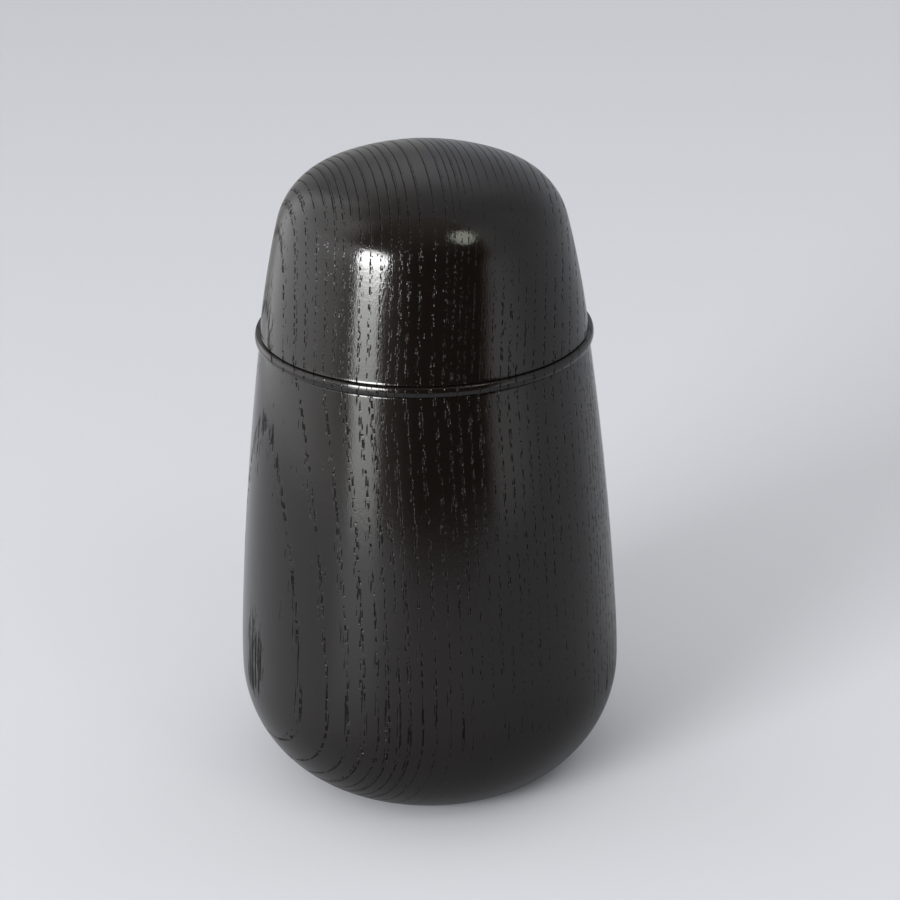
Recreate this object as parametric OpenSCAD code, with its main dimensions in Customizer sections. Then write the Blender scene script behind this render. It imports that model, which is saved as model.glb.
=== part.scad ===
// Turned wooden tea caddy: a round-bottomed vessel, a collar glued into its mouth,
// an inner lid that drops into the collar and a domed lid that slips over it.
// Millimetres, +Z up. The origin is the middle of the face the caddy stands on.

/* [Body] */
// Diameter at the widest point, low on the body
body_d = 80; // [70:1:100]
// Height of the rim, where the lid parts from the body
body_h = 97.4; // [80:0.1:120]
// Height of the widest point
belly_z = 25; // [20:0.5:32]
// Diameter of the flat the caddy stands on
base_d = 44; // [36:1:54]
// Radius of the belly just above the widest point
belly_r = 175; // [130:5:240]
// Radius of the long, nearly straight flank above the belly
flank_r = 825; // [650:25:1500]
// How far the rim stands in from the widest point
rim_inset = 6.25; // [4.5:0.25:9]
// Thickness of the side, which follows the outside
body_wall = 6; // [4:0.5:7]
// Thickness of the bottom
floor_t = 7; // [5:0.5:10]
// Rounding of the outer corner of the rim
rim_round = 0.8; // [0.2:0.1:1.2]
// Diameter of the shallow dish turned under the base
dish_d = 35; // [24:1:36]
// Depth of that dish in the middle
dish_deep = 1.2; // [0.4:0.1:2.5]

/* [Lid] */
// Height from the rim to the top of the dome
lid_h = 39.65; // [36:0.05:50]
// How far the foot of the lid's side stands in from the body's rim
lid_inset = 0.1; // [0:0.05:0.6]
// Lean of the lid's side at its foot, in degrees
lid_lean = 7.2; // [4:0.2:9]
// Radius of the lid's side
lid_side_r = 213; // [160:1:320]
// Radius of the turn from the side into the crown
shoulder_r = 14.7; // [9:0.1:18]
// Radius of the crown
crown_r = 51.5; // [42:0.5:70]
// Thickness of the dome
lid_wall = 4.4; // [3:0.1:6]
// Room left above the collar in the straight bore that slips over it
bore_room = 1.5; // [0.5:0.1:4]
// Chamfer that leads the bore on to the collar
bore_lead = 0.6; // [0.2:0.1:1]

/* [Bead] */
// Height of the bead round the foot of the lid
bead_h = 2.05; // [1.2:0.05:3]
// How far the bead stands out past the body's rim
bead_out = 0.95; // [0.2:0.05:1.2]
// Radius of the bead's face
bead_r = 2; // [1.6:0.1:4]
// Rounding of the bead's two edges
bead_round = 0.4; // [0.1:0.05:0.55]
// Width of the sunk line above the bead
quirk_w = 0.15; // [0.1:0.05:0.6]
// Depth of that line in from the lid's side
quirk_deep = 0.35; // [0.1:0.05:0.8]
// Height of the small cove above the line
cove_h = 0.5; // [0.3:0.1:2]
// Radius of that cove
cove_r = 1.5; // [1.2:0.1:6]

/* [Collar] */
// Wood left between the collar's seat and the outside of the rim
collar_inset = 5.65; // [4.5:0.05:7]
// Thickness of the collar
collar_t = 3; // [2.4:0.1:4]
// Height of the collar above the rim
collar_stand = 12; // [9:0.5:14]
// Depth of the collar's seat below the rim
collar_set = 10; // [6:0.5:14]
// Rounding of the collar's outer top corner
collar_round = 0.8; // [0.3:0.1:1.2]
// Height of the ledge in the body that carries the collar
ledge_h = 3; // [2:0.5:6]
// Gap between the collar and the lid's bore, on the radius
lid_fit = 0.1; // [0.05:0.01:0.3]

/* [Inner lid] */
// Thickness of the inner lid
inner_t = 3; // [2.5:0.1:4.5]
// Width of the step in the collar that carries it
step_w = 1.6; // [1:0.1:1.8]
// Gap round the inner lid, on the radius
inner_fit = 0.1; // [0.05:0.01:0.3]
// Chamfer round its lower edge
inner_lead = 0.5; // [0.2:0.1:1]
// Width of the flat round its rim
inner_rim = 2.6; // [1.5:0.1:5]
// Diameter of the flat that the knob stands on
boss_d = 15; // [13:0.5:20]
// Depth of the hollow between the two flats
hollow_deep = 0.8; // [0.2:0.1:1.2]

/* [Knob] */
// Diameter of the knob's head
knob_d = 13; // [11:0.5:16]
// Height of the knob above the inner lid
knob_h = 11; // [9:0.5:15]
// Diameter of the neck at its thinnest
neck_d = 6.4; // [5.5:0.1:8]
// Height of the neck
neck_h = 4.4; // [3:0.1:5]
// Diameter of the foot
foot_d = 10; // [8.5:0.5:12]
// Height of the foot
foot_h = 1.2; // [0.6:0.1:2]
// Radius of the head's edge
head_r = 2.2; // [1.6:0.1:2.4]
// Diameter of the tenon glued into the inner lid
tenon_d = 5; // [3:0.5:6]

/* [Hidden] */
$fn = 128;
// How far the chords of an arc may stay inside it
sag = 0.008;
// How far a cut runs past the face it opens through
past = 1;
LACQUER = "#1d1714";
RUBBED = "#2a1f19";

// Body: the bottom, belly and flank are arcs that run into one another
belly_rad = body_d / 2;
rim_rad = belly_rad - rim_inset;
bottom_in = belly_rad - base_d / 2;
bottom_r = (bottom_in * bottom_in + belly_z * belly_z) / (2 * bottom_in);
bottom_c = [belly_rad - bottom_r, belly_z];
belly_c = [belly_rad - belly_r, belly_z];
flank_c = upper_meet(belly_c, flank_r - belly_r, [rim_rad, body_h], flank_r);
flank_a = bearing(flank_c, belly_c);
rim_z = body_h - rim_round;
rim_c = [flank_c.x + leg(flank_r - rim_round, rim_z - flank_c.y), rim_z];
rim_a = bearing(flank_c, rim_c);
dish_r = (dish_d * dish_d / 4 + dish_deep * dish_deep) / (2 * dish_deep);
dish_c = [0, dish_deep - dish_r];

// Collar: seated in the body's rim, stepped inside for the inner lid
collar_rad = rim_rad - collar_inset;
mouth_rad = collar_rad - collar_t;
seat_z = body_h - collar_set;
ledge_z = seat_z - ledge_h;
collar_z = body_h + collar_stand;
step_z = collar_z - inner_t;
step_rad = mouth_rad + step_w;

// Lid: bead, sunk line, cove, side, shoulder and crown, from the rim up
top_z = body_h + lid_h;
bead_z = body_h + bead_h;
bead_c = [rim_rad + bead_out - bead_r, body_h + bead_h / 2];
bead_a = asin((bead_h / 2 - bead_round) / (bead_r - bead_round));
bead_low = bead_c + (bead_r - bead_round) * heading(-bead_a);
bead_high = bead_c + (bead_r - bead_round) * heading(bead_a);
side_foot = [rim_rad - lid_inset, bead_z];
side_c = side_foot - lid_side_r * heading(lid_lean);
crown_c = [0, top_z - crown_r];
shoulder_c = upper_meet(side_c, lid_side_r - shoulder_r, crown_c, crown_r - shoulder_r);
side_a = bearing(side_c, shoulder_c);
crown_a = bearing(crown_c, shoulder_c);
quirk_z = bead_z + quirk_w;
quirk_rad = side_foot.x - quirk_deep;
cove_a = asin((quirk_z + cove_h - side_c.y) / lid_side_r);
cove_c = side_c + (lid_side_r + cove_r) * heading(cove_a);
lip_a = asin((cove_c.y - quirk_z) / cove_r);
bore_rad = collar_rad + lid_fit;
bore_z = collar_z + bore_room;

// Inner lid: a disc flush with the collar, hollowed between its rim and its boss
inner_rad = step_rad - inner_fit;
tenon_rad = tenon_d / 2;
hollow_out = inner_rad - inner_rim;
hollow_half = (hollow_out - boss_d / 2) / 2;
hollow_r = (hollow_half * hollow_half + hollow_deep * hollow_deep) / (2 * hollow_deep);
hollow_c = [hollow_out - hollow_half, collar_z - hollow_deep + hollow_r];
hollow_a = asin(hollow_half / hollow_r);

// Knob: foot, hollowed neck, and a head with a round edge and a low crown
neck_r = neck_h / 2;
neck_c = [neck_d / 2 + neck_r, collar_z + foot_h + neck_r];
head_c = [knob_d / 2 - head_r, neck_c.y + neck_r + head_r];
neck_a = acos((neck_c.x - head_c.x) / neck_r);
knob_z = collar_z + knob_h;
head_rise = knob_z - head_c.y;
cap_r = (head_c.x * head_c.x + head_rise * head_rise - head_r * head_r)
    / (2 * (head_rise - head_r));
cap_c = [0, knob_z - cap_r];
cap_a = bearing(cap_c, head_c);

// Unit vector at an angle from the radial direction
function heading(a) = [cos(a), sin(a)];

// Angle at which one point sees another
function bearing(from, to) = atan2(to.y - from.y, to.x - from.x);

// Short side of a right-angled triangle from its long side and the other short one
function leg(long, side) = sqrt(long * long - side * side);

// The upper of the two points at given distances from two centres
function upper_meet(a, to_a, b, to_b) =
    let (
        gap = norm(b - a),
        along = (to_a * to_a - to_b * to_b + gap * gap) / (2 * gap),
        across = [a.y - b.y, b.x - a.x] / gap
    )
    a + along * (b - a) / gap + sign(across.y) * leg(to_a, along) * across;

// Points of an arc after its first one
function arc(c, r, from, to) =
    let (n = ceil(abs(to - from) / (2 * acos(1 - sag / r))))
    [for (i = [1:n]) c + r * heading(from + (to - from) * i / n)];

// Side of the vessel between two heights, moved in by the same amount all over
function vessel_line(inset, z0, z1) =
    let (
        r = bottom_r - inset,
        a0 = -asin((belly_z - z0) / r),
        a1 = asin((z1 - flank_c.y) / (flank_r - inset))
    )
    concat(
        [bottom_c + r * heading(a0)],
        arc(bottom_c, r, a0, 0),
        arc(belly_c, belly_r - inset, 0, flank_a),
        arc(flank_c, flank_r - inset, flank_a, a1)
    );

// Side and top of the dome from an angle on its side, moved in by the same amount all over
function dome_line(inset, a0) = concat(
    [side_c + (lid_side_r - inset) * heading(a0)],
    arc(side_c, lid_side_r - inset, a0, side_a),
    arc(shoulder_c, shoulder_r - inset, side_a, crown_a),
    arc(crown_c, crown_r - inset, crown_a, 90)
);

// Half section of a plain cylinder
module plug(r, z0, z1) {
    translate([0, z0]) square([r, z1 - z0]);
}

// Half section of the chamber: undercut below the ledge, then open to the mouth
module chamber_area() {
    line = vessel_line(body_wall, floor_t, ledge_z);
    intersection() {
        polygon(concat([[0, floor_t]], line, [[0, ledge_z]]));
        polygon([
            [0, 0],
            [mouth_rad + ledge_z, 0],
            [mouth_rad, ledge_z],
            [0, ledge_z]
        ]);
    }
    plug(mouth_rad, ledge_z - past, seat_z);
    plug(collar_rad, seat_z, body_h + past);
}

module body() {
    dish_line = arc(dish_c, dish_r, 90, acos(dish_d / 2 / dish_r));
    rim_line = arc(rim_c, rim_round, rim_a, 90);
    side_z = flank_c.y + flank_r * sin(rim_a);
    color(LACQUER) rotate_extrude() difference() {
        polygon(concat(
            [[0, dish_deep]], dish_line, vessel_line(0, 0, side_z), rim_line, [[0, body_h]]
        ));
        chamber_area();
    }
}

module collar() {
    corner = [collar_rad, collar_z] - collar_round * [1, 1];
    color(RUBBED) rotate_extrude() polygon(concat(
        [[mouth_rad, seat_z], [collar_rad, seat_z], [collar_rad, corner.y]],
        arc(corner, collar_round, 0, 90),
        [[step_rad, collar_z], [step_rad, step_z], [mouth_rad, step_z]]
    ));
}

module inner_lid() {
    color(LACQUER) rotate_extrude() polygon(concat(
        [
            [tenon_rad, step_z],
            [inner_rad - inner_lead, step_z],
            [inner_rad, step_z + inner_lead],
            [inner_rad, collar_z],
            [hollow_out, collar_z]
        ],
        arc(hollow_c, hollow_r, hollow_a - 90, -hollow_a - 90),
        [[tenon_rad, collar_z]]
    ));
}

module inner_lid_knob() {
    foot_z = collar_z + foot_h;
    neck_end = neck_r * sin(neck_a);
    color(LACQUER) rotate_extrude() polygon(concat(
        [
            [0, step_z],
            [tenon_rad, step_z],
            [tenon_rad, collar_z],
            [foot_d / 2, collar_z],
            [foot_d / 2, foot_z],
            [head_c.x, foot_z],
            [head_c.x, neck_c.y - neck_end]
        ],
        arc(neck_c, neck_r, 180 + neck_a, 180 - neck_a),
        [[head_c.x, head_c.y - head_r]],
        arc(head_c, head_r, -90, cap_a),
        arc(cap_c, cap_r, cap_a, 90)
    ));
}

module lid() {
    cavity_a = asin((bore_z - side_c.y) / (lid_side_r - lid_wall));
    color(LACQUER) rotate_extrude() difference() {
        polygon(concat(
            [[0, body_h], [bead_low.x, body_h]],
            arc(bead_low, bead_round, -90, -bead_a),
            arc(bead_c, bead_r, -bead_a, bead_a),
            arc(bead_high, bead_round, bead_a, 90),
            [[quirk_rad, bead_z], [quirk_rad, quirk_z], cove_c - cove_r * heading(lip_a)],
            arc(cove_c, cove_r, 180 + lip_a, 180 + cove_a),
            arc(side_c, lid_side_r, cove_a, side_a),
            arc(shoulder_c, shoulder_r, side_a, crown_a),
            arc(crown_c, crown_r, crown_a, 90)
        ));
        plug(bore_rad, body_h - past, bore_z);
        polygon([
            [0, body_h - past],
            [bore_rad + bore_lead + past, body_h - past],
            [bore_rad, body_h + bore_lead],
            [0, body_h + bore_lead]
        ]);
        polygon(concat([[0, bore_z]], dome_line(lid_wall, cavity_a)));
    }
}

body();
collar();
inner_lid();
inner_lid_knob();
lid();
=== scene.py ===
"""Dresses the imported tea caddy: five turned pieces of open-grained wood in black lacquer.

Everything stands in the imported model's own frame, in metres: Z is the turning axis and points up,
the foot stands on z = 0 and the viewer is on the -Y side. Profiles are written in millimetres,
as (radius, height), and each is run with the wood on its left, so that its faces point outwards.
"""

import logging
import math
from dataclasses import dataclass, field
from enum import Enum, IntEnum
from typing import Any, Sequence

import bpy
import numpy as np
from mathutils import Euler, Matrix, Vector


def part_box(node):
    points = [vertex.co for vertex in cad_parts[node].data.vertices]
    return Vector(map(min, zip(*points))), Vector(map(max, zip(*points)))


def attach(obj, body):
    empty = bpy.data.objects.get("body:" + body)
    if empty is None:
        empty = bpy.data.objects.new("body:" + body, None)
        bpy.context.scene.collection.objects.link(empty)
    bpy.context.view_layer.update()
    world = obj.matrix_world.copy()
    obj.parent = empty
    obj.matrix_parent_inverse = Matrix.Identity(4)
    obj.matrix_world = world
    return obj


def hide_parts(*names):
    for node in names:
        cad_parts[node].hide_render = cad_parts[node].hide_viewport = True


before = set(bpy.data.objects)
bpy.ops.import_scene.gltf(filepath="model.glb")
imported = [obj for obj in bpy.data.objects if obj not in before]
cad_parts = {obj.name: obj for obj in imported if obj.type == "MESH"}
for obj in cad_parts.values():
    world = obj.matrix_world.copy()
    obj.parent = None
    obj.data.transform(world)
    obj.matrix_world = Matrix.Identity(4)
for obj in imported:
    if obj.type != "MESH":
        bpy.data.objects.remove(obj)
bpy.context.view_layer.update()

log = logging.getLogger("caddy")

MM = 0.001
DEGREES = 180 / math.pi  # in a radian
SIDES = 256  # flats round a turned piece
STRIDE = 1.0  # longest step along a profile, mm
STRIDE_TURN = 4.0  # and round an arc, degrees
CORNER_SPANS = 6  # spans round an eased corner
HELD = 0.5  # where a point is held after a cut, as a share of what the cut took off
CLEAR = 1.2  # how far a line's own points keep off a cut, as a share of that
SAME_POINT = 1e-6  # distance within which points of a profile are one, mm
ON_AXIS = 1e-9  # radius within which a point is on the axis, m
FRAME_PIXELS = 900  # width and height of the picture

Points = np.ndarray
Colour = tuple[float, float, float]
Ramp = tuple[float, float]  # where a change starts and where it is full
Settings = dict[str, Any] | None
Sockets = dict[str | int, Any] | None


# ---------------------------------------------------------------- profile geometry


def heading(angle: float) -> Points:
    """Unit vector at an angle, in degrees, above the outward radius."""
    return np.array([math.cos(math.radians(angle)), math.sin(math.radians(angle))])


def bearing(start: Points, end: Points) -> float:
    """Angle in degrees at which one point sees another."""
    return math.degrees(math.atan2(end[1] - start[1], end[0] - start[0]))


def leg(long_side: float, side: float) -> float:
    """Short side of a right-angled triangle from its long side and the other short one."""
    return math.sqrt(long_side * long_side - side * side)


def bow(half: float, deep: float) -> float:
    """Radius of an arc from half its chord and its depth."""
    return (half**2 + deep**2) / (2 * deep)


def climb(height: float, radius: float) -> float:
    """Angle in degrees at which an arc of a radius stands at a height above its centre."""
    return math.degrees(math.asin(height / radius))


def upper_meet(first: Points, to_first: float, second: Points, to_second: float) -> Points:
    """The upper of the two points at given distances from two centres.

    The point lies `along` the line between the centres and `leg` across it, as in the
    triangle of the two distances.

    Args:
        first: One centre.
        to_first: Distance from it.
        second: The other centre.
        to_second: Distance from it.

    Returns:
        The crossing with the greater height.
    """
    gap = float(np.hypot(*(second - first)))
    along = (to_first**2 - to_second**2 + gap**2) / (2 * gap)
    across = np.array([first[1] - second[1], second[0] - first[0]]) / gap
    across = across * math.copysign(1.0, across[1])
    return first + along * (second - first) / gap + leg(to_first, along) * across


def arc(centre: Points, radius: float, start: float, end: float) -> Points:
    """Points centre + radius * (cos a, sin a) for evenly spaced angles a.

    Args:
        centre: Middle of the arc.
        radius: Its radius, mm.
        start: First angle, degrees.
        end: Last angle, degrees.

    Returns:
        The points, ends included, no further apart than STRIDE or STRIDE_TURN.
    """
    sweep = abs(end - start)
    spans = max(math.radians(sweep) * radius / STRIDE, sweep / STRIDE_TURN)
    count = max(2, math.ceil(spans))
    angle = np.radians(np.linspace(start, end, count + 1))
    return np.asarray(centre) + radius * np.stack([np.cos(angle), np.sin(angle)], axis=1)


def straight(start: Sequence[float], end: Sequence[float]) -> Points:
    """Evenly spaced points from start to end, both included, no further apart than STRIDE."""
    start, end = np.asarray(start, float), np.asarray(end, float)
    count = max(1, math.ceil(float(np.hypot(*(end - start))) / STRIDE))
    return start + np.linspace(0, 1, count + 1)[:, None] * (end - start)


def chain(*lines: Points) -> Points:
    """One line from several, each of which starts where the last one ended."""
    return np.concatenate([lines[0], *(line[1:] for line in lines[1:])])


class Coat(IntEnum):
    """Which of a piece's finishes a stretch of its outline wears."""

    OUTSIDE = 0
    INSIDE = 1


@dataclass(frozen=True)
class Stretch:
    """One smooth stretch of a profile and the corner at its end."""

    points: Points
    coat: Coat
    ease: float


@dataclass
class Outline:
    """The half section of a turned piece, drawn stretch by stretch."""

    stretches: list[Stretch] = field(default_factory=list)
    coat: Coat = Coat.OUTSIDE

    def draw(self, *lines: Points, ease: float = 0.0) -> "Outline":
        """Adds lines that run smoothly into one another.

        Args:
            lines: Point arrays, each starting where the last one ended.
            ease: How much of this stretch and the next its end corner takes up, mm.

        Returns:
            The outline itself, so that calls can follow one another.
        """
        self.stretches.append(Stretch(chain(*lines), self.coat, ease))
        return self

    def to(self, radius: float, height: float, ease: float = 0.0) -> "Outline":
        """Adds a straight stretch from where the last one ended, as `draw` does."""
        line = straight(self.stretches[-1].points[-1], (radius, height))
        line[-1] = radius, height
        return self.draw(line, ease=ease)

    def wear(self, coat: Coat) -> "Outline":
        """Sets the finish of the stretches that follow."""
        self.coat = coat
        return self

    @staticmethod
    def _trim(points: Points, head: float, tail: float) -> Points:
        """Cuts a length off each end of a line and keeps a point close to each cut.

        Args:
            points: The line.
            head: Length taken off its start, mm.
            tail: Length taken off its end, mm.

        Returns:
            The shorter line.
        """
        run = np.r_[0.0, np.cumsum(np.hypot(*np.diff(points, axis=0).T))]
        first, last = head, run[-1] - tail
        guard = HELD * np.array([head, -tail])
        low, high = first + CLEAR * guard[0] + SAME_POINT, last + CLEAR * guard[1] - SAME_POINT
        inner = run[(run > low) & (run < high)]
        held = np.unique(np.r_[first, first + guard[0], inner, last + guard[1], last])
        return np.stack([np.interp(held, run, points[:, k]) for k in (0, 1)], axis=1)

    def trace(self, closed: bool) -> tuple[Points, np.ndarray, np.ndarray]:
        """Joins the stretches into one line with its corners eased.

        At an eased corner both stretches stop one ease short, and a parabola that leaves along
        the first and arrives along the second (a quadratic Bezier whose middle point is the
        corner) takes the corner's place.

        Args:
            closed: Whether the last stretch ends where the first one starts.

        Returns:
            The points, the finish of the span after each point, and how exposed each point is,
            from 0 on a face to 1 on the middle of a corner.
        """
        points, coats, exposed = [], [], []
        count = len(self.stretches)
        step = np.linspace(0, 1, CORNER_SPANS + 1)[1:-1, None]
        for k, stretch in enumerate(self.stretches):
            before = self.stretches[k - 1].ease if k or closed else 0.0
            line = self._trim(stretch.points, before, stretch.ease)
            points.append(line)
            exposed.append(np.zeros(len(line)))
            if stretch.ease:
                after = self.stretches[(k + 1) % count]
                follow = self._trim(after.points, stretch.ease, after.ease)[0]
                corner = stretch.points[-1]
                bend = (
                    (1 - step) ** 2 * line[-1]
                    + 2 * step * (1 - step) * corner
                    + step**2 * follow
                )
                points.append(bend)
                exposed.append((4 * step * (1 - step)).ravel())
            coats.append(np.full(len(line) + (len(bend) if stretch.ease else 0), int(stretch.coat)))
        joined, coat, edge = map(np.concatenate, (points, coats, exposed))
        gap = np.hypot(*np.diff(joined, axis=0, append=joined[:1]).T)
        keep = gap > SAME_POINT
        if not closed:
            keep[-1] = True
        return joined[keep], coat[keep], edge[keep]


def turned(
    name: str, outline: Outline, finishes: Sequence["Finish"], closed: bool = False
) -> bpy.types.Object:
    """Carries a profile round the axis.

    P(s, t) = (r(s) cos t, r(s) sin t, z(s)), with s along the profile and t once round. A profile
    that starts or ends on the axis closes there on a single point.

    Args:
        name: Name of the piece.
        outline: Its half section.
        finishes: Its finishes, in the order of Coat.
        closed: Whether the profile is a ring rather than a line between two points of the axis.

    Returns:
        The new object, at the origin, with its place in its mesh. Its points carry "exposed", 1 on
        a corner, and "tilt", the upward part of the surface's unit normal.
    """
    line, coat, edge = outline.trace(closed)
    radius, height = line.T * MM
    if closed:
        run = np.roll(line, -1, axis=0) - np.roll(line, 1, axis=0)
    else:
        run = np.gradient(line, axis=0)
    tilt = -run[:, 0] / np.hypot(*run.T)
    rows = np.flatnonzero(radius > ON_AXIS)
    turn = 2 * np.pi * np.arange(SIDES) / SIDES
    grid = np.stack(
        [
            radius[rows, None] * np.cos(turn),
            radius[rows, None] * np.sin(turn),
            np.broadcast_to(height[rows, None], (len(rows), SIDES)),
        ],
        axis=-1,
    ).reshape(-1, 3)
    ring = np.arange(len(rows) * SIDES).reshape(len(rows), SIDES)
    lower, upper = (ring, np.roll(ring, -1, axis=0)) if closed else (ring[:-1], ring[1:])
    quads = np.stack(
        [lower, np.roll(lower, -1, axis=1), np.roll(upper, -1, axis=1), upper], axis=-1
    ).reshape(-1, 4)
    faces = quads.tolist()
    bands = coat[rows] if closed else coat[rows[:-1]]
    face_coat = [np.repeat(bands, SIDES)]
    exposed, leaning = [np.repeat(edge[rows], SIDES)], [np.repeat(tilt[rows], SIDES)]
    poles = []
    for end, row in ((0, ring[0]), (len(line) - 1, ring[-1])):
        if closed or radius[end] > ON_AXIS:
            continue
        pole = np.full(SIDES, len(grid) + len(poles))
        poles.append([0.0, 0.0, height[end]])
        sides = (np.roll(row, -1), row) if end == 0 else (row, np.roll(row, -1))
        faces += np.stack([sides[0], sides[1], pole], axis=1).tolist()
        face_coat.append(np.full(SIDES, coat[end] if end == 0 else bands[-1]))
        exposed.append(np.zeros(1))
        leaning.append(tilt[[end]])
    mesh = bpy.data.meshes.new(name)
    mesh.from_pydata(np.concatenate([grid, np.reshape(poles, (-1, 3))]).tolist(), [], faces)
    mesh.polygons.foreach_set("material_index", np.concatenate(face_coat).astype(np.int32))
    mesh.polygons.foreach_set("use_smooth", np.ones(len(faces), bool))
    for key, values in (("exposed", exposed), ("tilt", leaning)):
        layer = mesh.attributes.new(key, "FLOAT", "POINT")
        layer.data.foreach_set("value", np.concatenate(values).astype(np.float32))
    for finish in finishes:
        mesh.materials.append(finish.material())
    mesh.update()
    piece = bpy.data.objects.new(name, mesh)
    bpy.context.scene.collection.objects.link(piece)
    return piece


# ---------------------------------------------------------------- shader arithmetic


class Wire:
    """A shader socket that takes part in Python arithmetic, one Math node per operation."""

    def __init__(self, bench: "Bench", socket: bpy.types.NodeSocket) -> None:
        """Holds a socket and the node tree it belongs to."""
        self.bench = bench
        self.socket = socket

    def math(self, operation: str, *others: "Wire | float") -> "Wire":
        """Adds a Math node with this socket first.

        Args:
            operation: Its operation.
            others: The inputs after this one.

        Returns:
            The node's result.
        """
        node = self.bench.node(
            "ShaderNodeMath", {"operation": operation}, dict(enumerate((self, *others)))
        )
        return Wire(self.bench, node.outputs[0])

    def __add__(self, other: "Wire | float") -> "Wire":
        """Sum."""
        return self.math("ADD", other)

    __radd__ = __add__

    def __mul__(self, other: "Wire | float") -> "Wire":
        """Product."""
        return self.math("MULTIPLY", other)

    __rmul__ = __mul__

    def __sub__(self, other: "Wire | float") -> "Wire":
        """Difference."""
        return self.math("SUBTRACT", other)

    def __rsub__(self, other: float) -> "Wire":
        """A number less this socket."""
        return self * -1.0 + other

    def __truediv__(self, other: "Wire | float") -> "Wire":
        """Quotient."""
        return self.math("DIVIDE", other)

    def __rtruediv__(self, other: float) -> "Wire":
        """A number over this socket."""
        return self.math("POWER", -1.0) * other

    def __pow__(self, power: float) -> "Wire":
        """Power."""
        return self.math("POWER", power)

    def step(self, low: float, high: float) -> "Wire":
        """Smooth step: 0 at low, 1 at high, with an easy start and end; low may be the greater."""
        flip = low > high
        node = self.bench.node(
            "ShaderNodeMapRange",
            {"interpolation_type": "SMOOTHSTEP"},
            {
                "Value": self,
                "From Min": min(low, high),
                "From Max": max(low, high),
                "To Min": float(flip),
                "To Max": float(not flip),
            },
        )
        return Wire(self.bench, node.outputs[0])


class Bench:
    """A node tree and the few ways in which nodes are put on it."""

    def __init__(self, tree: bpy.types.NodeTree) -> None:
        """Takes a node tree and clears it."""
        self.tree = tree
        tree.nodes.clear()

    def node(
        self, kind: str, settings: Settings = None, sockets: Sockets = None
    ) -> bpy.types.Node:
        """Adds any node.

        Args:
            kind: Its type.
            settings: Its properties, which are set first.
            sockets: Values or links of its inputs, by name or number.

        Returns:
            The node.
        """
        node = self.tree.nodes.new(kind)
        for key, value in (settings or {}).items():
            setattr(node, key, value)
        for key, value in (sockets or {}).items():
            if isinstance(value, Wire):
                self.tree.links.new(value.socket, node.inputs[key])
            else:
                node.inputs[key].default_value = value
        return node

    def wire(
        self, kind: str, output: str | int, settings: Settings = None, sockets: Sockets = None
    ) -> Wire:
        """Adds any node and takes one of its outputs, as `node` does."""
        return Wire(self, self.node(kind, settings, sockets).outputs[output])

    def vector(self, operation: str, *inputs: Any, scale: float | Wire | None = None) -> Wire:
        """Adds a Vector Math node.

        Args:
            operation: Its operation.
            inputs: Its vectors.
            scale: The factor of SCALE.

        Returns:
            The vector, or the value of DOT_PRODUCT, LENGTH and DISTANCE.
        """
        sockets: dict[str | int, Any] = dict(enumerate(inputs))
        if scale is not None:
            sockets["Scale"] = scale
        single = operation in ("DOT_PRODUCT", "LENGTH", "DISTANCE")
        return self.wire("ShaderNodeVectorMath", int(single), {"operation": operation}, sockets)

    def split(self, vector: Wire) -> tuple[Wire, Wire, Wire]:
        """The three components of a vector or colour."""
        node = self.node("ShaderNodeSeparateXYZ", None, {0: vector})
        return tuple(Wire(self, node.outputs[k]) for k in range(3))

    def join(self, x: Any, y: Any, z: Any) -> Wire:
        """A vector from three components."""
        return self.wire("ShaderNodeCombineXYZ", 0, None, {0: x, 1: y, 2: z})

    def noise(self, vector: Wire, size: float, detail: float = 2.0, rough: float = 0.5) -> Wire:
        """Smooth noise from 0 to 1, with features of a size in the vector's own unit."""
        return self.wire(
            "ShaderNodeTexNoise",
            0,
            {"noise_dimensions": "3D"},
            {"Vector": vector, "Scale": 1 / size, "Detail": detail, "Roughness": rough},
        )

    def cells(
        self, kind: str, where: Wire, uneven: float, scale: float = 1.0
    ) -> tuple[Wire, Wire, Wire, Wire]:
        """Scatters cells along a line or over a plane.

        Args:
            kind: 1D or 2D.
            where: Distance along the line, or point of the plane.
            uneven: How unevenly the cells lie, 0 to 1.
            scale: Cells per unit.

        Returns:
            Distance from the nearest cell's middle, in cells, and three random numbers for it.
        """
        sockets = {"W" if kind == "1D" else "Vector": where, "Scale": scale, "Randomness": uneven}
        node = self.node("ShaderNodeTexVoronoi", {"voronoi_dimensions": kind}, sockets)
        return Wire(self, node.outputs["Distance"]), *self.split(Wire(self, node.outputs["Color"]))

    def mix(self, factor: Wire, first: Any, second: Any) -> Wire:
        """Blends two colours by a factor.

        Args:
            factor: 0 gives the first, 1 the second.
            first: A colour or a link.
            second: A colour or a link.

        Returns:
            The blend.
        """
        pair = [value if isinstance(value, Wire) else (*value, 1.0) for value in (first, second)]
        return self.wire(
            "ShaderNodeMix", 2, {"data_type": "RGBA"}, {0: factor, 6: pair[0], 7: pair[1]}
        )

    def finish(
        self, surface: bpy.types.NodeSocket, kind: str = "ShaderNodeOutputMaterial"
    ) -> None:
        """Puts a shader on the tree's output."""
        self.tree.links.new(surface, self.node(kind).inputs["Surface"])

    def blend(self, factor: Wire, first: bpy.types.Node, second: bpy.types.Node) -> None:
        """Puts two shaders on a material's output, blended: a factor of 1 is the second."""
        pair = {1: Wire(self, first.outputs[0]), 2: Wire(self, second.outputs[0])}
        self.finish(self.node("ShaderNodeMixShader", None, {0: factor, **pair}).outputs[0])


# ---------------------------------------------------------------- finishes

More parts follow.
